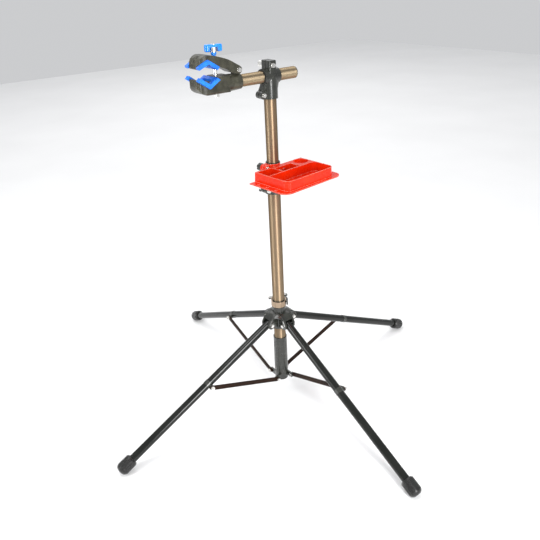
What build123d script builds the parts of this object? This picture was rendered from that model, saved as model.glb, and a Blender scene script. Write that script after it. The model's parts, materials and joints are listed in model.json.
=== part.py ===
"""Folding bike repair stand: four-leg umbrella base, telescopic mast, swivel clamp arm and tool tray.

Millimetres, +Z up. The origin is on the floor, under the mast's axis. The clamp points to -X.
Pieces that belong to one leg are drawn on the +X leg and turned about the mast to the other three.
"""
import os
from math import atan2, cos, degrees, radians, sin

from build123d import *

os.makedirs("parts", exist_ok=True)

# ---------------------------------------------------------------- driving dimensions
GAP = 0.3  # free space between surfaces that slide or turn on each other
PIN_GAP = 0.05  # radial clearance of a turning piece on its bolt
SLIT = 2.5  # width of the saw cut in a split clamp

MAST_R = 19.0  # lower mast tube, outside
MAST_WALL = 1.45
MAST_FOOT = 60.0
MAST_TOP = 766.0
INNER_R = 17.25  # upper mast tube, outside
INNER_WALL = 1.5
INNER_FOOT = 300.0
INNER_TOP = 1040.0

SLEEVE_R = 22.3
SLEEVE_FOOT = 56.0
SLEEVE_TOP = 226.0

HUB_PIVOT_R = 44.4  # leg pivots, from the mast's axis
HUB_PIVOT_Z = 290.8
LEG_ANGLE = 26.35  # below the horizontal, when open
LEG_R = 12.5
LEG_WALL = 1.5
LEG_LENGTH = 592.0
FOOT_R = 20.0
FOOT_START = 578.0
FOOT_END = 628.0

BRACKET_AT = 270.5  # strut bracket, from the leg's pivot
BRACKET_DROP = 4.0  # strut pivot, below the leg's axis
LUG_PIVOT_R = 33.0
LUG_PIVOT_Z = 73.0
STRUT_WIDTH = 15.0
STRUT_THICK = 5.0
STRUT_INNER = 19.4  # strut's inner face, to the side of the leg's plane
STRUT_BOLT_R = 3.0
LEG_BOLT_R = 4.0

ARM_Z = 1061.0
ARM_R = 15.9
ARM_WALL = 1.7
ARM_LEFT = -150.0
ARM_RIGHT = 85.0
LINER_WALL = 1.1

JAW_PIN = (-107.0, 1091.5)
STUD_X = -168.0
STUD_R = 5.0
PAD_HALF = 34.0
JAW_HALF = 27.0
NOSE_HALF = 24.0
NOSE_ROUND = 12.0  # plan radius of the nose's corners
RIB_GROOVE_R = 1.5

TRAY_TURN = 6.0  # swivel of the tray about the mast, at rest
TRAY_LEFT = -90.0
TRAY_RIGHT = 92.0
TRAY_BACK = -21.5
TRAY_FRONT = -155.0
TRAY_RIM = 819.0
TRAY_FLOOR = 792.0
TRAY_WALL = 3.0
CUP_R = 22.0

LEG_SIDES = {"rear": 0, "right": 90, "front": 180, "left": 270}


# ---------------------------------------------------------------- shared shapes
def rod(plane, radius, start, end, mode=Mode.ADD):
    """A round bar along the plane's normal, between two distances from its origin."""
    with BuildSketch(plane.offset(start)) as section:
        Circle(radius)
    extrude(section.sketch, amount=end - start, mode=mode)


def hexagon(plane, across_flats, start, end, mode=Mode.ADD):
    """A six-sided bolt head or nut along the plane's normal."""
    with BuildSketch(plane.offset(start)) as section:
        RegularPolygon(across_flats / 2, 6, major_radius=False)
    extrude(section.sketch, amount=end - start, mode=mode)


def block(x, y, z, mode=Mode.ADD):
    """A box given by its (low, high) pairs."""
    with Locations(((x[0] + x[1]) / 2, (y[0] + y[1]) / 2, (z[0] + z[1]) / 2)):
        Box(x[1] - x[0], y[1] - y[0], z[1] - z[0], mode=mode)


def slab(points, half_width, mode=Mode.ADD):
    """A side-view outline in X and Z, extruded to both sides of the X-Z plane."""
    with BuildSketch(Plane.XZ) as outline:
        Polygon(*points, align=None)
    extrude(outline.sketch, amount=half_width, both=True, mode=mode)


def across(x, z):
    """A plane at a point of the X-Z plane, whose normal points to +Y."""
    return Plane(origin=(x, 0, z), x_dir=(1, 0, 0), z_dir=(0, 1, 0))


def cross_bolt(x, z, radius, near, far, head):
    """A bolt along Y through a piece between near and far: head, two washers and a nut outside it."""
    plane = across(x, z)
    rod(plane, radius, near - 1.2, far + 7.0)
    rod(plane, head * 0.58, near - 1.2, near)
    hexagon(plane, head, near - 5.2, near - 1.2)
    rod(plane, head * 0.58, far, far + 1.2)
    hexagon(plane, head, far + 1.2, far + 5.8)


MAST = Plane.XY
ARM = Plane(origin=(0, 0, ARM_Z), x_dir=(0, 1, 0), z_dir=(1, 0, 0))

# ---------------------------------------------------------------- lower mast and its foot sleeve
with BuildPart() as lower_mast_tube:
    rod(MAST, MAST_R, MAST_FOOT, MAST_TOP)
    rod(MAST, MAST_R - MAST_WALL, MAST_FOOT, MAST_TOP, mode=Mode.SUBTRACT)
lower_mast_tube.part.label = "lower_mast_tube"
export_step(lower_mast_tube.part, "parts/lower_mast_tube.step")

LUG_INNER = 13.2
LUG_OUTER = STRUT_INNER - 0.4
with BuildPart() as mast_sleeve:
    rod(MAST, SLEEVE_R, SLEEVE_FOOT, SLEEVE_TOP)
    fillet(mast_sleeve.edges().group_by(Axis.Z)[0], 3)
    with PolarLocations(SLEEVE_R + 1.6, 12, start_angle=15):
        with Locations((0, 0, SLEEVE_FOOT + 34)):
            Cylinder(2.6, 120, align=(Align.CENTER, Align.CENTER, Align.MIN), mode=Mode.SUBTRACT)
    for side in LEG_SIDES.values():
        tangent = Vector(-sin(radians(side)), cos(radians(side)), 0)
        outward = Vector(cos(radians(side)), sin(radians(side)), 0)
        face = Plane(origin=tangent * LUG_INNER + Vector(0, 0, LUG_PIVOT_Z), x_dir=outward, z_dir=tangent)
        with BuildSketch(face):
            with Locations((LUG_PIVOT_R / 2 + 4, 0)):
                Rectangle(LUG_PIVOT_R - 8, 17)
            with Locations((LUG_PIVOT_R, 0)):
                Circle(8.5)
                Circle(STRUT_BOLT_R, mode=Mode.SUBTRACT)
        extrude(amount=LUG_OUTER - LUG_INNER)
    rod(MAST, MAST_R, MAST_FOOT, SLEEVE_TOP, mode=Mode.SUBTRACT)
mast_sleeve.part.label = "mast_sleeve"
export_step(mast_sleeve.part, "parts/mast_sleeve.step")

LUG_PIVOT = across(LUG_PIVOT_R, LUG_PIVOT_Z)
STRUT_OUTER = STRUT_INNER + STRUT_THICK
with BuildPart() as anchor_bolt:
    rod(LUG_PIVOT, STRUT_BOLT_R, LUG_INNER, STRUT_OUTER + 4.0)
    hexagon(LUG_PIVOT, 10, LUG_INNER - 3.8, LUG_INNER)
with BuildPart() as anchor_nut:
    rod(LUG_PIVOT, 5.6, STRUT_OUTER + GAP, STRUT_OUTER + 1.3)
    hexagon(LUG_PIVOT, 10, STRUT_OUTER + 1.3, STRUT_OUTER + 5.5)
    rod(LUG_PIVOT, STRUT_BOLT_R, STRUT_OUTER, STRUT_OUTER + 4.0, mode=Mode.SUBTRACT)
with BuildPart() as strut_anchor_bolts:
    add([anchor_bolt.part.rotate(Axis.Z, side) for side in LEG_SIDES.values()])
strut_anchor_bolts.part.label = "strut_anchor_bolts"
export_step(strut_anchor_bolts.part, "parts/strut_anchor_bolts.step")
with BuildPart() as strut_anchor_nuts:
    add([anchor_nut.part.rotate(Axis.Z, side) for side in LEG_SIDES.values()])
strut_anchor_nuts.part.label = "strut_anchor_nuts"
export_step(strut_anchor_nuts.part, "parts/strut_anchor_nuts.step")


# ---------------------------------------------------------------- quick-release locks, shared by two clamps
CAM_R = 8.0
CAM_PIN_R = 3.0
CAM_EYE_R = 5.5
CAM_EYE_HALF = 4.0
BLADE_THICK = 4.5
WASHER = 1.4


def cam_lever(pin_x, pin_y, z_low, z_high, inner_r):
    """Two cam halves on an upright pin, joined by a blade that wraps round the band towards -X."""
    middle = (z_low + z_high) / 2
    pin = Plane(origin=(pin_x, pin_y, 0))
    start = degrees(atan2(pin_y, pin_x))
    sweep = -112 - start
    with BuildPart() as lever:
        rod(pin, CAM_R, z_low, z_high)
        rod(pin, CAM_R + 1, middle - CAM_EYE_HALF - GAP, middle + CAM_EYE_HALF + GAP, mode=Mode.SUBTRACT)
        with BuildSketch(MAST.offset(z_low + 1.5)) as blade:
            with BuildLine():
                inner = CenterArc((0, 0), inner_r, start, sweep)
                outer = CenterArc((0, 0), inner_r + BLADE_THICK, start, sweep)
                Line(inner @ 0, outer @ 0)
                Line(inner @ 1, outer @ 1)
            make_face()
        extrude(blade.sketch, amount=z_high - z_low - 3)
        fillet(lever.edges().filter_by(Axis.Z).sort_by(Axis.X)[:2], BLADE_THICK / 2 - 0.2)
        rod(pin, CAM_PIN_R + PIN_GAP, z_low, z_high, mode=Mode.SUBTRACT)
    return lever.part


def skewer(x, z, pin_y, near, far, pin_low, pin_high, nut):
    """The lock's cross bar: cam pin in its eye at the near end, washers, nut at the far end."""
    pin = Plane(origin=(x, pin_y, 0))
    bar = across(x, z)
    with BuildPart() as body:
        rod(bar, STRUT_BOLT_R, pin_y, far + WASHER + nut)
        rod(pin, CAM_EYE_R, z - CAM_EYE_HALF, z + CAM_EYE_HALF)
        rod(pin, CAM_PIN_R, pin_low, pin_high)
        rod(bar, 6.6, near - WASHER, near)
        rod(bar, 6.6, far, far + WASHER)
        hexagon(bar, 11, far + WASHER, far + WASHER + nut - 1)
    return body.part


# ---------------------------------------------------------------- hub that slides on the lower mast
HUB_BORE = MAST_R + GAP
CORE_R = 24.6
CHEEK_INNER = LEG_R + 0.5
CHEEK_OUTER = 18.6
SWEEP_R = 18.6
HUB_FOOT = 266.0
NECK_FOOT = 326.0
NECK_R = 23.0
NECK_TOP = 344.0
SPLIT_R = 21.2
SPLIT_TOP = 368.0
with BuildPart() as leg_hub:
    with BuildSketch(Plane.XZ):
        with BuildLine():
            Polyline((HUB_BORE, HUB_FOOT), (CORE_R, HUB_FOOT), (CORE_R, 307), (45, 300), (57, 290))
            Line((57, 290), (58, 294))
            ThreePointArc((58, 294), (45, 314), (NECK_R, NECK_FOOT))
            Polyline((NECK_R, NECK_FOOT), (NECK_R, NECK_TOP), (SPLIT_R, NECK_TOP), (SPLIT_R, SPLIT_TOP))
            Polyline((SPLIT_R, SPLIT_TOP), (HUB_BORE, SPLIT_TOP), (HUB_BORE, HUB_FOOT))
        make_face()
    revolve(axis=Axis.Z)
    for corner in (45, 135, 225, 315):
        outward = Vector(cos(radians(corner)), sin(radians(corner)), 0)
        arch = Plane(origin=(0, 0, HUB_PIVOT_Z + 5), x_dir=outward.rotate(Axis.Z, 90), z_dir=outward)
        rod(arch, 21, CORE_R + 3.5, 80, mode=Mode.SUBTRACT)
    for side in LEG_SIDES.values():
        outward = Vector(cos(radians(side)), sin(radians(side)), 0)
        tangent = outward.rotate(Axis.Z, 90)
        leg_plane = Plane(origin=(0, 0, 0), x_dir=outward, z_dir=tangent * -1)
        with BuildSketch(leg_plane) as cheeks:
            with BuildLine():
                Polyline((22, NECK_FOOT - 2), (22, HUB_FOOT + 4), (38, HUB_FOOT + 12))
                Line((38, HUB_FOOT + 12), (HUB_PIVOT_R + 13.5, HUB_PIVOT_Z - 3))
                ThreePointArc((HUB_PIVOT_R + 13.5, HUB_PIVOT_Z - 3), (45, 314), (22, NECK_FOOT - 2))
            make_face()
            with Locations((HUB_PIVOT_R, HUB_PIVOT_Z)):
                Circle(13.5)
        extrude(cheeks.sketch, amount=CHEEK_OUTER, both=True)
    for side in LEG_SIDES.values():
        outward = Vector(cos(radians(side)), sin(radians(side)), 0)
        tangent = outward.rotate(Axis.Z, 90)
        leg_plane = Plane(origin=(0, 0, 0), x_dir=outward, z_dir=tangent * -1)
        with BuildSketch(leg_plane) as slot:
            with Locations((HUB_PIVOT_R, HUB_PIVOT_Z)):
                Circle(SWEEP_R)
                Rectangle(60, 80, align=(Align.MIN, Align.MAX))
            with Locations((HUB_PIVOT_R - SWEEP_R, HUB_PIVOT_Z)):
                Rectangle(60, 80, align=(Align.MIN, Align.MAX))
            with Locations((HUB_PIVOT_R, HUB_PIVOT_Z + SWEEP_R)):
                Rectangle(40, 40, align=(Align.MIN, Align.MAX))
        extrude(slot.sketch, amount=CHEEK_INNER, both=True, mode=Mode.SUBTRACT)
        pivot = outward * HUB_PIVOT_R + Vector(0, 0, HUB_PIVOT_Z)
        bolt_line = Plane(origin=pivot, x_dir=outward, z_dir=tangent)
        rod(bolt_line, LEG_BOLT_R, -CHEEK_OUTER, CHEEK_OUTER, mode=Mode.SUBTRACT)
        rod(bolt_line, 6.6, CHEEK_OUTER, CHEEK_OUTER + 8, mode=Mode.SUBTRACT)
        rod(bolt_line, 6.6, -CHEEK_OUTER - 8, -CHEEK_OUTER, mode=Mode.SUBTRACT)
    rod(MAST, HUB_BORE, 200, 400, mode=Mode.SUBTRACT)
leg_hub.part.label = "leg_hub"
export_step(leg_hub.part, "parts/leg_hub.step")

LEG_PIVOT = across(HUB_PIVOT_R, HUB_PIVOT_Z)
with BuildPart() as leg_pivot_bolt:
    rod(LEG_PIVOT, LEG_BOLT_R, -CHEEK_OUTER, CHEEK_OUTER)
    rod(LEG_PIVOT, 6.4, -CHEEK_OUTER - 1.2, -CHEEK_OUTER)
    hexagon(LEG_PIVOT, 10, -CHEEK_OUTER - 5.0, -CHEEK_OUTER - 1.2)
    rod(LEG_PIVOT, 6.4, CHEEK_OUTER, CHEEK_OUTER + 1.2)
    hexagon(LEG_PIVOT, 10, CHEEK_OUTER + 1.2, CHEEK_OUTER + 5.0)
with BuildPart() as leg_pivot_bolts:
    add([leg_pivot_bolt.part.rotate(Axis.Z, side) for side in LEG_SIDES.values()])
leg_pivot_bolts.part.label = "leg_pivot_bolts"
export_step(leg_pivot_bolts.part, "parts/leg_pivot_bolts.step")

HUB_LOCK_TURN = 54
BAND_R = 24.2
with BuildPart() as hub_lock_band:
    rod(MAST, BAND_R, 346, 366)
    with BuildSketch(across(30, 356)) as lugs:
        Circle(7.5)
        with Locations((-7, 0)):
            Rectangle(14, 15)
    extrude(lugs.sketch, amount=12, both=True)
    rod(MAST, SPLIT_R, 346, 366, mode=Mode.SUBTRACT)
    block((15, 45), (-SLIT / 2, SLIT / 2), (340, 370), mode=Mode.SUBTRACT)
    rod(across(30, 356), STRUT_BOLT_R, -12, 12, mode=Mode.SUBTRACT)
hub_lock_band.part = hub_lock_band.part.rotate(Axis.Z, HUB_LOCK_TURN)
hub_lock_band.part.label = "hub_lock_band"
export_step(hub_lock_band.part, "parts/hub_lock_band.step")

LOCK_X = 30.0
LOCK_Z = 356.0
CAM_PIN_Y = -22.0
LUG_HALF = 12.0
hub_lock_skewer = skewer(LOCK_X, LOCK_Z, CAM_PIN_Y, -LUG_HALF, LUG_HALF, 346, 366, 20)
hub_lock_skewer = hub_lock_skewer.rotate(Axis.Z, HUB_LOCK_TURN)
hub_lock_skewer.label = "hub_lock_skewer"
export_step(hub_lock_skewer, "parts/hub_lock_skewer.step")

hub_lock_lever = cam_lever(LOCK_X, CAM_PIN_Y, 347, 365, BAND_R + 2).rotate(Axis.Z, HUB_LOCK_TURN)
hub_lock_lever.label = "hub_lock_lever"
export_step(hub_lock_lever, "parts/hub_lock_lever.step")

# ---------------------------------------------------------------- legs, drawn on the +X side
angle = radians(LEG_ANGLE)
leg_direction = Vector(cos(angle), 0, -sin(angle))
leg_up = Vector(sin(angle), 0, cos(angle))
leg_origin = Vector(HUB_PIVOT_R, 0, HUB_PIVOT_Z)
LEG = Plane(origin=leg_origin, x_dir=(0, 1, 0), z_dir=leg_direction)
LEG_SECTION = Plane(origin=leg_origin, x_dir=leg_direction, z_dir=(0, -1, 0))
strut_top = leg_origin + leg_direction * BRACKET_AT - leg_up * BRACKET_DROP

with BuildPart() as leg_tube:
    rod(LEG, LEG_R, -13, LEG_LENGTH)
    rod(LEG, LEG_R - LEG_WALL, -13, LEG_LENGTH, mode=Mode.SUBTRACT)
    rod(LEG_PIVOT, LEG_BOLT_R + PIN_GAP, -LEG_R, LEG_R, mode=Mode.SUBTRACT)

with BuildPart() as foot_cap:
    with BuildSketch(LEG_SECTION):
        with BuildLine():
            Polyline((FOOT_START, LEG_R), (FOOT_START, 16), (FOOT_START + 5, FOOT_R), (FOOT_END - 14, FOOT_R))
            RadiusArc((FOOT_END - 14, FOOT_R), (FOOT_END, FOOT_R - 14), 14)
            Polyline((FOOT_END, FOOT_R - 14), (FOOT_END, 0), (LEG_LENGTH, 0), (LEG_LENGTH, LEG_R))
            Line((LEG_LENGTH, LEG_R), (FOOT_START, LEG_R))
        make_face()
    revolve(axis=Axis(leg_origin, leg_direction))
    with BuildSketch(LEG.offset(FOOT_START + 9)) as grooves:
        with PolarLocations(FOOT_R + 1.0, 14, start_angle=90 + 180 / 14):
            Circle(2.4)
    extrude(grooves.sketch, amount=60, mode=Mode.SUBTRACT)
    block((500, 700), (-60, 60), (-60, 0), mode=Mode.SUBTRACT)

with BuildPart() as strut_bracket:
    rod(LEG, LEG_R + 0.9, BRACKET_AT - 7.5, BRACKET_AT + 7.5)
    rod(Plane(origin=strut_top, x_dir=(1, 0, 0), z_dir=(0, 1, 0)), 7.5, 2, LUG_OUTER)
    rod(LEG, LEG_R, BRACKET_AT - 30, BRACKET_AT + 30, mode=Mode.SUBTRACT)

# ---------------------------------------------------------------- struts, from the sleeve's lugs to the legs
run = strut_top - Vector(LUG_PIVOT_R, 0, LUG_PIVOT_Z)
strut_middle = Vector(LUG_PIVOT_R, STRUT_INNER, LUG_PIVOT_Z) + run * 0.5
with BuildPart() as strut:
    with BuildSketch(Plane(origin=strut_middle, x_dir=run, z_dir=(0, 1, 0))):
        SlotCenterToCenter(run.length, STRUT_WIDTH)
        with Locations((-run.length / 2, 0)):
            Circle(STRUT_BOLT_R + PIN_GAP, mode=Mode.SUBTRACT)
        with Locations((run.length / 2, 0)):
            Circle(STRUT_BOLT_R, mode=Mode.SUBTRACT)
    extrude(amount=STRUT_THICK)
    fillet(strut.edges().filter_by(Axis(strut_middle, run)), 1.2)
STRUT_TOP = Plane(origin=strut_top, x_dir=(1, 0, 0), z_dir=(0, 1, 0))
with BuildPart() as strut_bolt:
    rod(STRUT_TOP, STRUT_BOLT_R, STRUT_INNER, STRUT_OUTER)
    rod(STRUT_TOP, 6.4, STRUT_OUTER, STRUT_OUTER + 1.2)
    hexagon(STRUT_TOP, 10, STRUT_OUTER + 1.2, STRUT_OUTER + 5.2)
    rod(STRUT_TOP, STRUT_BOLT_R, STRUT_OUTER + 5.2, STRUT_OUTER + 7.5)

for name, side in LEG_SIDES.items():
    for piece, shape in (
        (f"{name}_leg_tube", leg_tube.part),
        (f"{name}_foot", foot_cap.part),
        (f"{name}_strut_bracket", strut_bracket.part),
        (f"{name}_strut", strut.part),
        (f"{name}_strut_bolt", strut_bolt.part),
    ):
        turned = shape.rotate(Axis.Z, side)
        turned.label = piece
        export_step(turned, f"parts/{piece}.step")

# ---------------------------------------------------------------- clamp that holds the mast's height
HEIGHT_CLAMP_FOOT = 731.0
HEIGHT_CLAMP_TOP = 774.0
HEIGHT_CLAMP_R = 23.5
HEIGHT_BOLT = (29.0, 745.5)
with BuildPart() as height_clamp:
    rod(MAST, HEIGHT_CLAMP_R, HEIGHT_CLAMP_FOOT, HEIGHT_CLAMP_TOP)
    fillet(height_clamp.edges().group_by(Axis.Z)[-1], 2.5)
    with BuildSketch(across(*HEIGHT_BOLT)) as lugs:
        Circle(10)
        with Locations((-7, 0)):
            Rectangle(14, 20)
    extrude(lugs.sketch, amount=12.5, both=True)
    rod(MAST, MAST_R, HEIGHT_CLAMP_FOOT, MAST_TOP, mode=Mode.SUBTRACT)
    rod(MAST, INNER_R + GAP, MAST_TOP, HEIGHT_CLAMP_TOP, mode=Mode.SUBTRACT)
    block((10, 45), (-SLIT / 2, SLIT / 2), (725, 780), mode=Mode.SUBTRACT)
    rod(across(*HEIGHT_BOLT), STRUT_BOLT_R, -13, 13, mode=Mode.SUBTRACT)
height_clamp.part = height_clamp.part.rotate(Axis.Z, 180)
height_clamp.part.label = "height_clamp"
export_step(height_clamp.part, "parts/height_clamp.step")

height_skewer = skewer(*HEIGHT_BOLT, CAM_PIN_Y, -12.5, 12.5, 736, 755, 6).rotate(Axis.Z, 180)
height_skewer.label = "height_skewer"
export_step(height_skewer, "parts/height_skewer.step")

height_lever = cam_lever(HEIGHT_BOLT[0], CAM_PIN_Y, 737, 754, HEIGHT_CLAMP_R + 2.5).rotate(Axis.Z, 180)
height_lever.label = "height_lever"
export_step(height_lever, "parts/height_lever.step")

# ---------------------------------------------------------------- upper mast and the head on it
with BuildPart() as upper_mast_tube:
    rod(MAST, INNER_R, INNER_FOOT, INNER_TOP)
    rod(MAST, INNER_R - INNER_WALL, INNER_FOOT, INNER_TOP, mode=Mode.SUBTRACT)
upper_mast_tube.part.label = "upper_mast_tube"
export_step(upper_mast_tube.part, "parts/upper_mast_tube.step")

SOCKET_R = 22.0
HOUSING_R = 21.0
HOUSING_HALF = 25.0
HEAD_FOOT = 1003.0
HEAD_TOP = 1103.0
LINER_OUT = ARM_R + GAP + LINER_WALL
HEAD_BOLT = (-29.0, 1015.0)
EAR_BOLT = (0.0, 1090.0)
with BuildPart() as arm_head:
    rod(MAST, SOCKET_R, HEAD_FOOT, ARM_Z)
    rod(ARM, HOUSING_R, -HOUSING_HALF, HOUSING_HALF)
    with BuildSketch(MAST.offset(ARM_Z + 8)) as ears:
        RectangleRounded(24, 38, 4)
    extrude(ears.sketch, amount=HEAD_TOP - ARM_Z - 8)
    fillet(arm_head.faces().sort_by(Axis.Z)[-1].edges(), 3.5)
    with BuildSketch(across(*HEAD_BOLT)) as lugs:
        Circle(10.5)
        with Locations((8, 0)):
            Rectangle(16, 21)
    extrude(lugs.sketch, amount=12, both=True)
    slab(((-36, 1019), (-20, 1050), (-10, 1050), (-10, 1019)), 9)
    slab(((20, 1022), (25, 1046), (10, 1050), (10, 1022)), 9)
    rod(MAST, INNER_R + GAP, HEAD_FOOT, INNER_TOP + 1, mode=Mode.SUBTRACT)
    rod(ARM, LINER_OUT + GAP, -HOUSING_HALF, HOUSING_HALF, mode=Mode.SUBTRACT)
    block((-30, 30), (-SLIT / 2, SLIT / 2), (ARM_Z + 10, HEAD_TOP + 5), mode=Mode.SUBTRACT)
    block((-45, -10), (-SLIT / 2, SLIT / 2), (HEAD_FOOT - 5, HEAD_FOOT + 27), mode=Mode.SUBTRACT)
    rod(across(*HEAD_BOLT), STRUT_BOLT_R, -13, 13, mode=Mode.SUBTRACT)
    rod(across(*EAR_BOLT), STRUT_BOLT_R, -20, 20, mode=Mode.SUBTRACT)
arm_head.part.label = "arm_head"
export_step(arm_head.part, "parts/arm_head.step")

with BuildPart() as head_mast_bolt:
    cross_bolt(*HEAD_BOLT, STRUT_BOLT_R, -12, 12, 10)
head_mast_bolt.part.label = "head_mast_bolt"
export_step(head_mast_bolt.part, "parts/head_mast_bolt.step")

with BuildPart() as head_arm_bolt:
    rod(across(*EAR_BOLT), STRUT_BOLT_R, -19, 30)
    rod(across(*EAR_BOLT), 6.0, -20.2, -19)
    hexagon(across(*EAR_BOLT), 10, -24.5, -20.2)
head_arm_bolt.part.label = "head_arm_bolt"
export_step(head_arm_bolt.part, "parts/head_arm_bolt.step")

with BuildPart() as head_arm_knob:
    with BuildSketch(across(*EAR_BOLT).offset(19.3)) as grip:
        Circle(8.0)
        with PolarLocations(9.2, 8):
            Circle(1.8, mode=Mode.SUBTRACT)
    extrude(grip.sketch, amount=22)
    chamfer(head_arm_knob.faces().sort_by(Axis.Y)[-1].edges(), 1)
    rod(across(*EAR_BOLT), STRUT_BOLT_R + PIN_GAP, 19, 30, mode=Mode.SUBTRACT)
head_arm_knob.part.label = "head_arm_knob"
export_step(head_arm_knob.part, "parts/head_arm_knob.step")

# ---------------------------------------------------------------- arm, its liner and end plug
FLANGE = 2.0
with BuildPart() as arm_liner:
    rod(ARM, LINER_OUT, -HOUSING_HALF - GAP - FLANGE, HOUSING_HALF + GAP + FLANGE)
    rod(ARM, LINER_OUT + 2.4, -HOUSING_HALF - GAP - FLANGE, -HOUSING_HALF - GAP)
    rod(ARM, LINER_OUT + 2.4, HOUSING_HALF + GAP, HOUSING_HALF + GAP + FLANGE)
    rod(ARM, ARM_R + GAP, -40, 40, mode=Mode.SUBTRACT)
arm_liner.part.label = "arm_liner"
export_step(arm_liner.part, "parts/arm_liner.step")

with BuildPart() as arm_tube:
    rod(ARM, ARM_R, ARM_LEFT, ARM_RIGHT)
    rod(ARM, ARM_R - ARM_WALL, ARM_LEFT, ARM_RIGHT, mode=Mode.SUBTRACT)
arm_tube.part.label = "arm_tube"
export_step(arm_tube.part, "parts/arm_tube.step")

with BuildPart() as arm_end_plug:
    rod(ARM, ARM_R - ARM_WALL, ARM_RIGHT - 14, ARM_RIGHT)
    rod(ARM, ARM_R, ARM_RIGHT, ARM_RIGHT + 2.5)
    fillet(arm_end_plug.edges().sort_by(Axis.X)[-1], 1.5)
arm_end_plug.part.label = "arm_end_plug"
export_step(arm_end_plug.part, "parts/arm_end_plug.step")

# ---------------------------------------------------------------- lower jaw, fixed on the arm
KNUCKLE_HALF = 8.3
FORK_HALF = KNUCKLE_HALF + GAP
REAR_HALF = 17.5
STUD = Plane(origin=(STUD_X, 0, 0))
STUD_SLOT = (STUD_X - 14, STUD_X + 11)
STUD_SLOT_HALF = 5.8
PAD_WINDOW_HALF = 21.0
PAD_APEX_R = 3.0
JAW_PIVOT = across(*JAW_PIN)


def jaw_plan(nose, z_low, z_high, taper_start, taper_end, rear_half):
    """Keeps what is inside the jaw's plan: a narrow nose, a broad pad seat and a tapered rear end."""
    shoulder = nose + NOSE_ROUND
    with BuildSketch(MAST.offset(z_low)) as plan:
        with BuildLine():
            Line((nose, 0), (nose, NOSE_HALF - NOSE_ROUND))
            TangentArc((nose, NOSE_HALF - NOSE_ROUND), (shoulder, NOSE_HALF), tangent=(0, 1))
            Spline((shoulder, NOSE_HALF), (shoulder + 16, JAW_HALF), tangents=[(1, 0), (1, 0)])
            Line((shoulder + 16, JAW_HALF), (taper_start, JAW_HALF))
            Spline((taper_start, JAW_HALF), (taper_end, rear_half), tangents=[(1, 0), (1, 0)])
            Polyline((taper_end, rear_half), (-84, rear_half), (-84, 0))
            mirror(about=Plane.XZ)
        make_face()
    extrude(plan.sketch, amount=z_high - z_low, mode=Mode.INTERSECT)


def nose_ribs(nose, front):
    """Upright grooves round the nose's corners, and grooves up its front through the given (x, z) points."""
    flat = NOSE_HALF - NOSE_ROUND
    for turn in (0.5, 1.0, 1.5):
        for side in (-1, 1):
            corner = (nose + NOSE_ROUND * (1 - cos(turn)), side * (flat + NOSE_ROUND * sin(turn)), 0)
            rod(Plane(origin=corner), RIB_GROOVE_R, 1035, 1140, mode=Mode.SUBTRACT)
    for foot, tip in zip(front, front[1:]):
        upward = Vector(tip[0] - foot[0], 0, tip[1] - foot[1])
        for y in (-flat / 2, 0, flat / 2):
            groove = Plane(origin=(foot[0], y, foot[1]), x_dir=(0, 1, 0), z_dir=upward)
            rod(groove, RIB_GROOVE_R, -1, upward.length + 1, mode=Mode.SUBTRACT)


with BuildPart() as lower_jaw_pad:
    slab(((-237, 1080), (-230, 1087.5), (-204.5, 1069.5), (-182, 1083), (-174, 1077), (-205, 1058)), PAD_HALF)
    fillet(lower_jaw_pad.edges().filter_by(Axis.Y).group_by(Axis.Z)[-1], 1.5)
    fillet(lower_jaw_pad.edges().filter_by(Axis.Y).sort_by(Axis.Z)[:2], PAD_APEX_R)
    block((-240, -190), (-PAD_WINDOW_HALF, PAD_WINDOW_HALF), (1050, 1100), mode=Mode.SUBTRACT)
    rod(STUD, STUD_R, 1050, 1100, mode=Mode.SUBTRACT)
lower_jaw_pad.part.label = "lower_jaw_pad"
export_step(lower_jaw_pad.part, "parts/lower_jaw_pad.step")

with BuildPart() as lower_jaw:
    with BuildSketch(Plane.XZ) as outline:
        with BuildLine():
            Polyline((-138, 1083), (-138, 1041), (-200, 1041.5))
            Spline((-200, 1041.5), (-225, 1050), (-235, 1072), tangents=[(-1, 0), (0, 1)])
            ThreePointArc((-235, 1072), (-234, 1078), (-230, 1081))
            Polyline((-230, 1081), (-204.5, 1064), (-182, 1077.5), (-176, 1083), (-138, 1083))
        make_face()
    extrude(outline.sketch, amount=JAW_HALF, both=True)
    jaw_plan(-235, 1030, 1090, -170, -138, 20)
    with BuildSketch(ARM.offset(-240)) as section:
        with Locations((0, 1041 - ARM_Z)):
            Rectangle(2 * JAW_HALF, 60, align=(Align.CENTER, Align.MIN))
        fillet(section.vertices().group_by(Axis.Z)[0], 9)
    extrude(section.sketch, amount=160, mode=Mode.INTERSECT)
    nose_ribs(-235, ((-235, 1066), (-235, 1078)))
    add(lower_jaw_pad.part, mode=Mode.SUBTRACT)
    rod(ARM, 21.5, -158, -127)
    with BuildSketch(ARM.offset(-127)) as neck_start:
        Circle(21.5)
    with BuildSketch(ARM.offset(-98)) as neck_end:
        Circle(20)
    loft([neck_start.sketch, neck_end.sketch])
    slab(((-118, 1070), (-98, 1070), (-98.5, 1091.5), (-115.5, 1091.5)), KNUCKLE_HALF)
    rod(JAW_PIVOT, 8.5, -KNUCKLE_HALF, KNUCKLE_HALF)
    rod(ARM, ARM_R, ARM_LEFT, -80, mode=Mode.SUBTRACT)
    rod(JAW_PIVOT, STRUT_BOLT_R, -10, 10, mode=Mode.SUBTRACT)
    rod(STUD, STUD_R, 1030, 1090, mode=Mode.SUBTRACT)
lower_jaw.part.label = "lower_jaw"
export_step(lower_jaw.part, "parts/lower_jaw.step")

with BuildPart() as jaw_hinge_bolt:
    cross_bolt(*JAW_PIN, STRUT_BOLT_R, -REAR_HALF - GAP, REAR_HALF + GAP, 10)
jaw_hinge_bolt.part.label = "jaw_hinge_bolt"
export_step(jaw_hinge_bolt.part, "parts/jaw_hinge_bolt.step")

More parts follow.
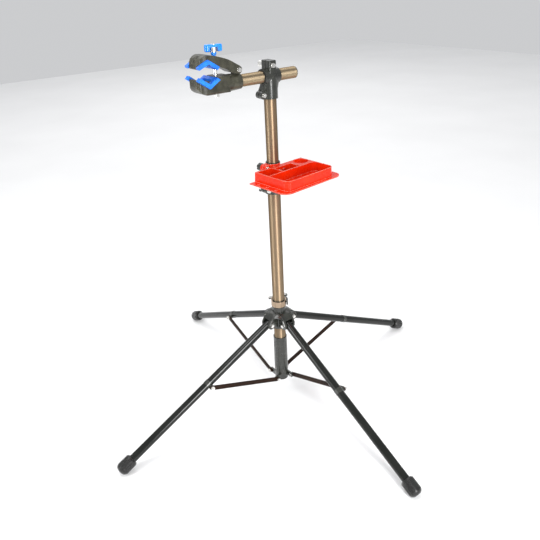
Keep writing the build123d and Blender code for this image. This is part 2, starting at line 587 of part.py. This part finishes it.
STUD_TOP = 1157.0
with BuildPart() as clamp_stud:
    rod(STUD, STUD_R, 1034, STUD_TOP)
    chamfer(clamp_stud.edges().sort_by(Axis.Z)[-1], 1)
    hexagon(STUD, 13, 1031.5, 1038.7)
clamp_stud.part.label = "clamp_stud"
export_step(clamp_stud.part, "parts/clamp_stud.step")

# ---------------------------------------------------------------- upper jaw, which swings on the hinge bolt
with BuildPart() as upper_jaw_pad:
    outer_side = ((-234.5, 1111), (-205, 1127.5), (-173.5, 1107.5))
    inner_side = ((-180, 1100.8), (-203.5, 1117), (-231, 1105.5))
    slab(outer_side + inner_side, PAD_HALF)
    fillet(upper_jaw_pad.edges().filter_by(Axis.Y).group_by(Axis.Z)[0], 1.5)
    fillet(upper_jaw_pad.edges().filter_by(Axis.Y).sort_by(Axis.Z)[-2:], PAD_APEX_R)
    block((-240, -189), (-PAD_WINDOW_HALF, PAD_WINDOW_HALF), (1050, 1140), mode=Mode.SUBTRACT)
    block(STUD_SLOT, (-STUD_SLOT_HALF, STUD_SLOT_HALF), (1050, 1140), mode=Mode.SUBTRACT)
upper_jaw_pad.part.label = "upper_jaw_pad"
export_step(upper_jaw_pad.part, "parts/upper_jaw_pad.step")

with BuildPart() as upper_jaw:
    with BuildSketch(Plane.XZ) as outline:
        with BuildLine():
            Spline((-103, 1101), (-133, 1117.5), (-168, 1129.7), (-204, 1136.2), tangents=[(-2, 1), (-1, 0)])
            ThreePointArc((-204, 1136.2), (-222, 1128.5), (-231, 1109))
            Polyline((-231, 1109), (-229, 1105.5), (-225, 1106.5), (-204, 1122), (-180, 1104))
            Polyline((-180, 1104), (-170.5, 1107), (-143, 1096), (-128, 1087), (-107, 1082), (-103, 1101))
        make_face()
        with Locations(JAW_PIN):
            Circle(9.5)
    extrude(outline.sketch, amount=JAW_HALF, both=True)
    jaw_plan(-231, 1075, 1145, -182, -112, REAR_HALF)
    nose_ribs(-231, ((-231, 1107), (-229, 1119), (-222, 1128.8), (-213, 1134)))
    add(upper_jaw_pad.part, mode=Mode.SUBTRACT)
    block((-128, -80), (-FORK_HALF, FORK_HALF), (1075, 1145), mode=Mode.SUBTRACT)
    block(STUD_SLOT, (-STUD_SLOT_HALF, STUD_SLOT_HALF), (1075, 1145), mode=Mode.SUBTRACT)
    rod(JAW_PIVOT, STRUT_BOLT_R + PIN_GAP, -30, 30, mode=Mode.SUBTRACT)
upper_jaw.part.label = "upper_jaw"
export_step(upper_jaw.part, "parts/upper_jaw.step")

# ---------------------------------------------------------------- collar and tightening knob on the stud
COLLAR_FOOT = 1133.2
KNOB_FOOT = 1140.0
with BuildPart() as clamp_collar:
    rod(STUD, 7.2, COLLAR_FOOT, KNOB_FOOT - GAP)
    fillet(clamp_collar.edges().group_by(Axis.Z)[0], 1)
    rod(STUD, STUD_SLOT_HALF - 0.4, COLLAR_FOOT - 3, COLLAR_FOOT)
    rod(STUD, STUD_R + PIN_GAP, COLLAR_FOOT - 3, KNOB_FOOT, mode=Mode.SUBTRACT)
clamp_collar.part.label = "clamp_collar"
export_step(clamp_collar.part, "parts/clamp_collar.step")

KNOB_TURN = -14
BAR_FOOT = 1151.0
KNOB_TOP = 1158.0
NUT_NECK_R = 6.4
with BuildPart() as clamp_knob:
    with BuildSketch(MAST.offset(KNOB_FOOT + 0.5)) as outline:
        SlotOverall(46, 15)
    extrude(outline.sketch, amount=KNOB_TOP - KNOB_FOOT - 0.5)
    fillet(clamp_knob.edges().group_by(Axis.Z)[-1], 4)
    fillet(clamp_knob.edges().group_by(Axis.Z)[0], 3)
    block((-10.5, 10.5), (-10, 10), (KNOB_FOOT, BAR_FOOT), mode=Mode.SUBTRACT)
    rod(MAST, NUT_NECK_R, KNOB_FOOT, KNOB_TOP, mode=Mode.SUBTRACT)
clamp_knob.part = clamp_knob.part.rotate(Axis.Z, KNOB_TURN).translate((STUD_X, 0, 0))
clamp_knob.part.label = "clamp_knob"
export_step(clamp_knob.part, "parts/clamp_knob.step")

with BuildPart() as knob_nut:
    rod(STUD, 8.8, KNOB_FOOT, BAR_FOOT)
    rod(STUD, NUT_NECK_R, BAR_FOOT, KNOB_TOP)
    rod(STUD, STUD_R + PIN_GAP, KNOB_FOOT, KNOB_TOP, mode=Mode.SUBTRACT)
knob_nut.part.label = "knob_nut"
export_step(knob_nut.part, "parts/knob_nut.step")

# ---------------------------------------------------------------- tool tray and its clamp on the upper mast
FLANGE_LEFT = -110.0
FLANGE_RIGHT = 115.0
FLANGE_FRONT = -165.0
FLANGE_THICK = 3.0
LONG_DIVIDER = -77.0
CUP = (67.0, -46.0)
TRAY_SCREWS = ((-8.0, 806.0), (8.0, 806.0))


def tray_outline(x, y, front_radius, back_radius):
    """A rectangle given by its (low, high) pairs, with larger corners at the front than at the back."""
    with BuildSketch() as outline:
        Polygon((x[0], y[0]), (x[1], y[0]), (x[1], y[1]), (x[0], y[1]), align=None)
        corners = outline.vertices().group_by(Axis.Y)
        fillet(corners[0], front_radius)
        fillet(corners[-1], back_radius)
    return outline.sketch


def pocket(x, y, radius):
    """A compartment, open at the rim, with rounded corners and its floor at the tray's floor."""
    with BuildSketch(MAST.offset(TRAY_FLOOR)) as opening:
        with Locations(((x[0] + x[1]) / 2, (y[0] + y[1]) / 2)):
            RectangleRounded(x[1] - x[0], y[1] - y[0], radius)
    extrude(opening.sketch, amount=60, mode=Mode.SUBTRACT)


with BuildPart() as tool_tray:
    with BuildSketch(MAST.offset(TRAY_FLOOR - FLANGE_THICK)) as flange:
        add(tray_outline((FLANGE_LEFT, FLANGE_RIGHT), (FLANGE_FRONT, TRAY_BACK), 25, 7))
    extrude(flange.sketch, amount=FLANGE_THICK)
    with BuildSketch(MAST.offset(TRAY_FLOOR)) as walls:
        add(tray_outline((TRAY_LEFT, TRAY_RIGHT), (TRAY_FRONT, TRAY_BACK), 19, 6))
    extrude(walls.sketch, amount=TRAY_RIM - TRAY_FLOOR, taper=2)
    rod(Plane(origin=CUP), CUP_R + TRAY_WALL, TRAY_FLOOR - FLANGE_THICK, TRAY_RIM)
    pocket((TRAY_LEFT + TRAY_WALL, TRAY_RIGHT - TRAY_WALL), (TRAY_FRONT + TRAY_WALL, LONG_DIVIDER - 1.5), 14)
    pocket((TRAY_LEFT + TRAY_WALL, -32.5), (LONG_DIVIDER + 1.5, -28), 8)
    pocket((-29.5, 33), (LONG_DIVIDER + 1.5, -38), 4)
    with BuildSketch(MAST.offset(TRAY_FLOOR - FLANGE_THICK)) as deck_hollow:
        with Locations((63.5, -48.5)):
            Rectangle(50, 47)
        with Locations(CUP):
            Circle(CUP_R + TRAY_WALL, mode=Mode.SUBTRACT)
    extrude(deck_hollow.sketch, amount=TRAY_RIM - TRAY_FLOOR, mode=Mode.SUBTRACT)
    with Locations((CUP[0], CUP[1], TRAY_RIM)):
        Hole(CUP_R)
    with BuildSketch(MAST.offset(TRAY_FLOOR - 10)) as tool_holes:
        with Locations((FLANGE_LEFT + 8, -50), (FLANGE_LEFT + 8, -85), (FLANGE_LEFT + 8, -120)):
            Circle(4)
        with Locations((FLANGE_RIGHT - 9, -50), (FLANGE_RIGHT - 9, -85), (FLANGE_RIGHT - 9, -120)):
            Circle(5)
    extrude(tool_holes.sketch, amount=20, mode=Mode.SUBTRACT)
    block((-60, -19), (-26, 30), (TRAY_FLOOR - 10, 830), mode=Mode.SUBTRACT)
    for screw in TRAY_SCREWS:
        rod(across(*screw), STRUT_BOLT_R, -45, -15, mode=Mode.SUBTRACT)
tool_tray.part = tool_tray.part.rotate(Axis.Z, TRAY_TURN)
tool_tray.part.label = "tool_tray"
export_step(tool_tray.part, "parts/tool_tray.step")

TRAY_LINER_OUT = INNER_R + GAP + 1.0
TRAY_CLAMP_FOOT = 795.0
TRAY_CLAMP_TOP = 822.0
TRAY_BOLT = (-30.0, 811.5)
TRAY_LUG_HALF = 11.0
with BuildPart() as tray_clamp:
    rod(MAST, 21.3, TRAY_CLAMP_FOOT, TRAY_CLAMP_TOP)
    block((-15, 15), (TRAY_BACK, -12), (TRAY_CLAMP_FOOT, 817))
    with BuildSketch(across(*TRAY_BOLT)) as lugs:
        Circle(10)
        with Locations((8, 0)):
            Rectangle(16, 20)
    extrude(lugs.sketch, amount=TRAY_LUG_HALF, both=True)
    rod(MAST, TRAY_LINER_OUT + GAP, TRAY_CLAMP_FOOT, TRAY_CLAMP_TOP, mode=Mode.SUBTRACT)
    block((-45, -10), (-SLIT / 2, SLIT / 2), (TRAY_CLAMP_FOOT, TRAY_CLAMP_TOP), mode=Mode.SUBTRACT)
    rod(across(*TRAY_BOLT), STRUT_BOLT_R, -TRAY_LUG_HALF, TRAY_LUG_HALF, mode=Mode.SUBTRACT)
    for screw in TRAY_SCREWS:
        rod(across(*screw), STRUT_BOLT_R, -45, TRAY_BACK + 2, mode=Mode.SUBTRACT)
tray_clamp.part = tray_clamp.part.rotate(Axis.Z, TRAY_TURN)
tray_clamp.part.label = "tray_clamp"
export_step(tray_clamp.part, "parts/tray_clamp.step")

with BuildPart() as tray_screws:
    for screw in TRAY_SCREWS:
        rod(across(*screw), STRUT_BOLT_R, -38, TRAY_BACK + 2)
        rod(across(*screw), 5.0, -40.2, -38)
tray_screws.part = tray_screws.part.rotate(Axis.Z, TRAY_TURN)
tray_screws.part.label = "tray_screws"
export_step(tray_screws.part, "parts/tray_screws.step")

with BuildPart() as tray_liner:
    rod(MAST, TRAY_LINER_OUT, TRAY_CLAMP_FOOT - GAP - FLANGE, TRAY_CLAMP_TOP + GAP + FLANGE)
    rod(MAST, 20.6, TRAY_CLAMP_FOOT - GAP - FLANGE, TRAY_CLAMP_FOOT - GAP)
    rod(MAST, 20.6, TRAY_CLAMP_TOP + GAP, TRAY_CLAMP_TOP + GAP + FLANGE)
    rod(MAST, INNER_R + GAP, TRAY_FLOOR - 10, 840, mode=Mode.SUBTRACT)
tray_liner.part.label = "tray_liner"
export_step(tray_liner.part, "parts/tray_liner.step")

with BuildPart() as tray_clamp_bolt:
    rod(across(*TRAY_BOLT), STRUT_BOLT_R, -TRAY_LUG_HALF - 1.2, TRAY_LUG_HALF + 11)
    rod(across(*TRAY_BOLT), 7.0, -TRAY_LUG_HALF - 1.2, -TRAY_LUG_HALF)
    hexagon(across(*TRAY_BOLT), 10, -TRAY_LUG_HALF - 5.2, -TRAY_LUG_HALF - 1.2)
tray_clamp_bolt.part = tray_clamp_bolt.part.rotate(Axis.Z, TRAY_TURN)
tray_clamp_bolt.part.label = "tray_clamp_bolt"
export_step(tray_clamp_bolt.part, "parts/tray_clamp_bolt.step")

with BuildPart() as tray_clamp_knob:
    with BuildSketch(across(*TRAY_BOLT).offset(TRAY_LUG_HALF + GAP)) as grip:
        Circle(11.5)
        with PolarLocations(13, 6):
            Circle(3, mode=Mode.SUBTRACT)
    extrude(grip.sketch, amount=14)
    chamfer(tray_clamp_knob.faces().sort_by(Axis.Y)[-1].edges(), 1)
    rod(across(*TRAY_BOLT), STRUT_BOLT_R + PIN_GAP, TRAY_LUG_HALF, TRAY_LUG_HALF + 11, mode=Mode.SUBTRACT)
tray_clamp_knob.part = tray_clamp_knob.part.rotate(Axis.Z, TRAY_TURN)
tray_clamp_knob.part.label = "tray_clamp_knob"
export_step(tray_clamp_knob.part, "parts/tray_clamp_knob.step")
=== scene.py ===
"""Looks of the bike repair stand: materials, floor, light and camera, in metres."""
import json
from math import cos, radians, sin

import bpy
from mathutils import Matrix, Vector

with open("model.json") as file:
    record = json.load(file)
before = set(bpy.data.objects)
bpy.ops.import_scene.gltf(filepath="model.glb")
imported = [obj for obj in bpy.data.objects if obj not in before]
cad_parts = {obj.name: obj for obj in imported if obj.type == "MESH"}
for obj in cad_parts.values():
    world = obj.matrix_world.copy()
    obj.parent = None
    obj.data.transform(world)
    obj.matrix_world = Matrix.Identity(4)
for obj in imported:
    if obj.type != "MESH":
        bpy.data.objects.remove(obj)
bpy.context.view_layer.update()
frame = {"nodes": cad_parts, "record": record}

NODES = frame["nodes"]
SLOT_OF = {part["node"]: part["material_slot"] for part in frame["record"]["subparts"]}
EVEN = (1, 1, 1)  # a texture's scale factors when it is the same along every axis
ALONG_Z = (1, 1, 0.02)
ALONG_X = (0.02, 1, 1)
NOISE_SPAN = (0.3, 0.7)  # the part of a noise's range that is spread over a whole blend
BEVEL_SAMPLES = 4
FLAT_DOT = 0.98  # the rounded normal against the face's own, where an edge starts to show
SHARP_DOT = 0.80  # and where it shows in full
SCUFF_AND_SHEEN_SCALE = 160
GLOSS_SCALE = 38
TURNED_STRETCH = 0.92  # how far a turned surface draws out its highlights
QUARTER_TURN = 0.25


# ---------------------------------------------------------------- materials
class Surface:
    """A node material around one Principled shader, with small helpers for its procedural parts."""

    def __init__(self, name):
        self.material = bpy.data.materials.new(name)
        self.material.use_nodes = True
        self.tree = self.material.node_tree
        self.shader = self.tree.nodes["Principled BSDF"]
        self.place = self.tree.nodes.new("ShaderNodeTexCoord").outputs["Object"]

    def node(self, kind, **settings):
        made = self.tree.nodes.new(kind)
        for key, value in settings.items():
            setattr(made, key, value)
        return made

    def link(self, start, end):
        self.tree.links.new(start, end)

    def constants(self, **values):
        """Plain values, set on the shader's own sockets."""
        for key, value in values.items():
            self.shader.inputs[key.replace("_", " ")].default_value = value

    def stretched(self, factors):
        """Object coordinates, scaled by one factor for each axis."""
        mapping = self.node("ShaderNodeMapping")
        mapping.inputs["Scale"].default_value = factors
        self.link(self.place, mapping.inputs["Vector"])
        return mapping.outputs["Vector"]

    def noise(self, scale, detail, factors=EVEN):
        texture = self.node("ShaderNodeTexNoise")
        texture.inputs["Scale"].default_value = scale
        texture.inputs["Detail"].default_value = detail
        self.link(self.stretched(factors), texture.inputs["Vector"])
        return texture.outputs["Fac"]

    def ranged(self, value, from_low, from_high, to_low, to_high):
        spread = self.node("ShaderNodeMapRange")
        for socket, number in zip(spread.inputs[1:5], (from_low, from_high, to_low, to_high)):
            socket.default_value = number
        self.link(value, spread.inputs["Value"])
        return spread.outputs["Result"]

    def mixed(self, amount, first, second):
        """Two colours, or links to them, mixed by a value."""
        blend = self.node("ShaderNodeMix", data_type="RGBA")
        self.link(amount, blend.inputs["Factor"])
        for socket, colour in ((blend.inputs["A"], first), (blend.inputs["B"], second)):
            if isinstance(colour, tuple):
                socket.default_value = (*colour, 1)
            else:
                self.link(colour, socket)
        return blend.outputs["Result"]

    def edges(self, radius):
        """1 on sharp edges and 0 on flat faces, with the rounded normal that goes with it."""
        bevel = self.node("ShaderNodeBevel", samples=BEVEL_SAMPLES)
        bevel.inputs["Radius"].default_value = radius
        compare = self.node("ShaderNodeVectorMath", operation="DOT_PRODUCT")
        self.link(bevel.outputs["Normal"], compare.inputs[0])
        self.link(self.node("ShaderNodeNewGeometry").outputs["Normal"], compare.inputs[1])
        mask = self.ranged(compare.outputs["Value"], FLAT_DOT, SHARP_DOT, 0.0, 1.0)
        return mask, bevel.outputs["Normal"]

    def bump(self, height, distance, normal):
        """Relief of a height in metres, on top of a normal."""
        made = self.node("ShaderNodeBump")
        made.inputs["Strength"].default_value = 1.0
        made.inputs["Distance"].default_value = distance
        self.link(height, made.inputs["Height"])
        self.link(normal, made.inputs["Normal"])
        return made.outputs["Normal"]


def finish(name, light, dark, roughness, mottle=(14, EVEN), grain=(900, 0.00002, EVEN),
           edge_wear_and_sheen=None, wear_and_sheen_span=(0.46, 0.62), edge=0.0006, turned=None, **constants):
    """A surface of two close colours, with uneven gloss, fine grain, rounded edges, and a lighter colour
    on edges that is rubbed wear on most finishes and a painted highlight on the red plastic.

    Mottle is a scale and its factors for each axis, and grain is a scale, a height in metres and factors.
    The edge colour is lighter paint on sharp edges: rubbed wear on most finishes, and a painted highlight
    along the rims of the red plastic. The span after it is the part of the noise that breaks it up. A
    turned surface has microscopic rings round the named axis, which draw its highlights out along it.
    """
    surface = Surface(name)
    mottle_scale, mottle_factors = mottle
    grain_scale, grain_height, grain_factors = grain
    patches = surface.noise(mottle_scale, 5.0, mottle_factors)
    colour = surface.mixed(surface.ranged(patches, *NOISE_SPAN, 0.0, 1.0), dark, light)
    edge_mask, rounded = surface.edges(edge)
    # Lighter colour on sharp edges: rubbed wear on most finishes, a painted highlight on the red
    # plastic's rims
    if edge_wear_and_sheen:
        scuffs_and_sheen_breakup = surface.ranged(surface.noise(SCUFF_AND_SHEEN_SCALE, 6.0), *wear_and_sheen_span, 0.0, 1.0)
        rubbed_and_sheen = surface.node("ShaderNodeMath", operation="MULTIPLY")
        surface.link(edge_mask, rubbed_and_sheen.inputs[0])
        surface.link(scuffs_and_sheen_breakup, rubbed_and_sheen.inputs[1])
        colour = surface.mixed(rubbed_and_sheen.outputs["Value"], colour, edge_wear_and_sheen)
    surface.link(colour, surface.shader.inputs["Base Color"])
    gloss = surface.ranged(surface.noise(GLOSS_SCALE, 6.0, mottle_factors), *NOISE_SPAN, *roughness)
    surface.link(gloss, surface.shader.inputs["Roughness"])
    relief = surface.noise(grain_scale, 2.0, grain_factors)
    surface.link(surface.bump(relief, grain_height, rounded), surface.shader.inputs["Normal"])
    if turned:
        rings = surface.node("ShaderNodeTangent", direction_type="RADIAL", axis=turned)
        surface.link(rings.outputs["Tangent"], surface.shader.inputs["Tangent"])
        surface.constants(Anisotropic=TURNED_STRETCH, Anisotropic_Rotation=QUARTER_TURN)
    surface.constants(**constants)
    return surface.material


MATERIALS = {
    "bronze_tube": finish("bronze_tube", (0.45, 0.335, 0.220), (0.33, 0.238, 0.148), (0.50, 0.60),
                          mottle=(30, ALONG_Z), grain=(1500, 0.000012, ALONG_Z), turned="Z", Metallic=1.0,
                          Specular_Tint=(0.16, 0.12, 0.09, 1), Coat_Weight=0.10, Coat_Roughness=0.16),
    "bronze_arm": finish("bronze_arm", (0.40, 0.315, 0.205), (0.30, 0.225, 0.140), (0.42, 0.50),
                         mottle=(30, ALONG_X), grain=(1500, 0.000012, ALONG_X), turned="X", Metallic=1.0,
                         Specular_Tint=(0.20, 0.15, 0.10, 1), Coat_Weight=0.10, Coat_Roughness=0.16),
    "bronze_band": finish("bronze_band", (0.42, 0.32, 0.23), (0.24, 0.17, 0.12), (0.14, 0.22),
                          mottle=(20, (1, 1, 0.3)), grain=(1400, 0.00002, (1, 1, 6)), Metallic=1.0),
    "black_tube": finish("black_tube", (0.012, 0.013, 0.011), (0.004, 0.005, 0.004), (0.16, 0.26),
                         mottle=(9, EVEN), grain=(420, 0.00003, EVEN), Coat_Weight=0.35,
                         Coat_Roughness=0.05, Specular_IOR_Level=0.15),
    "strut_steel": finish("strut_steel", (0.024, 0.011, 0.006), (0.010, 0.004, 0.002), (0.26, 0.38),
                          edge_wear_and_sheen=(0.16, 0.11, 0.08), Specular_IOR_Level=0.08),
    "black_nylon": finish("black_nylon", (0.022, 0.024, 0.018), (0.008, 0.009, 0.007), (0.20, 0.34),
                          mottle=(40, EVEN), grain=(1300, 0.00006, EVEN),
                          edge_wear_and_sheen=(0.16, 0.15, 0.12), edge=0.0012, Specular_IOR_Level=0.5,
                          Coat_Weight=0.5, Coat_Roughness=0.14),
    "jaw_plastic": finish("jaw_plastic", (0.062, 0.060, 0.042), (0.022, 0.022, 0.015), (0.26, 0.42),
                          mottle=(45, EVEN), grain=(1200, 0.00008, EVEN),
                          edge_wear_and_sheen=(0.30, 0.28, 0.20), edge=0.0014, Specular_IOR_Level=0.35),
    "liner_plastic": finish("liner_plastic", (0.016, 0.016, 0.015), (0.007, 0.007, 0.007), (0.30, 0.42)),
    "blue_pad": finish("blue_pad", (0.010, 0.230, 0.88), (0.004, 0.120, 0.66), (0.32, 0.44),
                       mottle=(60, EVEN), grain=(1500, 0.00005, EVEN), edge=0.0014),
    "blue_plastic": finish("blue_plastic", (0.008, 0.280, 0.92), (0.004, 0.170, 0.74), (0.16, 0.26),
                           mottle=(60, EVEN), edge=0.0010, Coat_Weight=0.3, Coat_Roughness=0.1),
    # The red plastic's pale edge colour is a painted highlight along the tray's rims, spread over nearly
    # every edge
    "red_plastic": finish("red_plastic", (0.74, 0.026, 0.002), (0.60, 0.014, 0.001), (0.20, 0.32),
                          mottle=(22, EVEN), grain=(700, 0.00003, EVEN), edge=0.0014,
                          edge_wear_and_sheen=(1.0, 0.56, 0.44), wear_and_sheen_span=(0.25, 0.50), Specular_IOR_Level=0.25,
                          Coat_Weight=0.15, Coat_Roughness=0.10, Subsurface_Weight=0.05),
    "zinc_steel": finish("zinc_steel", (0.90, 0.89, 0.86), (0.70, 0.69, 0.66), (0.18, 0.30),
                         mottle=(220, EVEN), Metallic=1.0, edge=0.0004),
    "black_rubber": finish("black_rubber", (0.016, 0.016, 0.015), (0.006, 0.006, 0.006), (0.22, 0.36),
                           mottle=(50, EVEN), grain=(1100, 0.00010, EVEN),
                           edge_wear_and_sheen=(0.07, 0.068, 0.06), edge=0.0012, Specular_IOR_Level=0.45),
}


def paint(piece, name):
    piece.data.materials.clear()
    piece.data.materials.append(MATERIALS[name])


for node, piece in NODES.items():
    paint(piece, SLOT_OF[node])
paint(NODES["arm_tube"], "bronze_arm")


# ---------------------------------------------------------------- floor, light and camera
FLOOR_SIZE = 16
FLOOR_GREY = (0.90, 0.90, 0.90)
FLOOR_WHITE = (0.94, 0.94, 0.94)
CLOUD_SCALE = 1.3


def pale_floor():
    surface = Surface("pale_floor")
    cloud = surface.ranged(surface.noise(CLOUD_SCALE, 4.0), *NOISE_SPAN, 0.0, 1.0)
    surface.link(surface.mixed(cloud, FLOOR_GREY, FLOOR_WHITE), surface.shader.inputs["Base Color"])
    surface.constants(Roughness=0.7)
    bpy.ops.mesh.primitive_plane_add(size=FLOOR_SIZE, location=(0, 0, 0))
    floor = bpy.context.object
    floor.name = "floor"
    floor.data.materials.append(surface.material)


def soft_light(name, place, target, size, power):
    """A rectangular lamp, with its width and height in metres, aimed at the target."""
    data = bpy.data.lights.new(name, "AREA")
    data.shape = "RECTANGLE"
    data.size, data.size_y = size
    data.energy = power
    lamp = bpy.data.objects.new(name, data)
    lamp.location = place
    lamp.rotation_euler = (Vector(target) - Vector(place)).to_track_quat("-Z", "Y").to_euler()
    bpy.context.scene.collection.objects.link(lamp)


pale_floor()
soft_light("key", (-0.6, -2.7, 1.5), (0, 0, 0.6), (0.6, 2.2), 84)
soft_light("side", (-2.7, 0.5, 1.5), (0, 0, 0.6), (0.7, 2.2), 34)
soft_light("top", (-0.6, 0.2, 3.0), (0, 0, 0.4), (1.2, 1.2), 26)
soft_light("sweep", (2.2, 3.6, 4.2), (2.2, 3.6, 0), (5.0, 5.0), 100)
SKY_COLOUR = (0.97, 0.98, 1.0, 1)
SKY_STRENGTH = 0.62
world = bpy.data.worlds.new("studio")
bpy.context.scene.world = world
world.use_nodes = True
sky = world.node_tree.nodes["Background"]
sky.inputs["Color"].default_value = SKY_COLOUR
sky.inputs["Strength"].default_value = SKY_STRENGTH
bpy.context.scene.view_settings.view_transform = "Standard"

CAMERA_AZIMUTH = radians(-36.40)
CAMERA_PITCH = radians(26.68)
CAMERA_ROLL = radians(-2.41)
CAMERA_TARGET = Vector((0, 0, 0.508))
CAMERA_DISTANCE = 1.788
CAMERA_LENS = 38.19
CAMERA_SHIFT = (-0.0128, -0.0191)
level_back = Vector((sin(CAMERA_AZIMUTH), -cos(CAMERA_AZIMUTH), 0))
back = level_back * cos(CAMERA_PITCH) + Vector((0, 0, sin(CAMERA_PITCH)))
right = Vector((cos(CAMERA_AZIMUTH), sin(CAMERA_AZIMUTH), 0))
up = back.cross(right)
tilted_right = right * cos(CAMERA_ROLL) + up * sin(CAMERA_ROLL)
tilted_up = back.cross(tilted_right)
camera_data = bpy.data.cameras.new("camera")
camera_data.lens = CAMERA_LENS
camera_data.shift_x, camera_data.shift_y = CAMERA_SHIFT
camera = bpy.data.objects.new("camera", camera_data)
bpy.context.scene.collection.objects.link(camera)
turn = Matrix((tilted_right, tilted_up, back)).transposed().to_4x4()
camera.matrix_world = Matrix.Translation(CAMERA_TARGET + back * CAMERA_DISTANCE) @ turn
bpy.context.scene.camera = camera
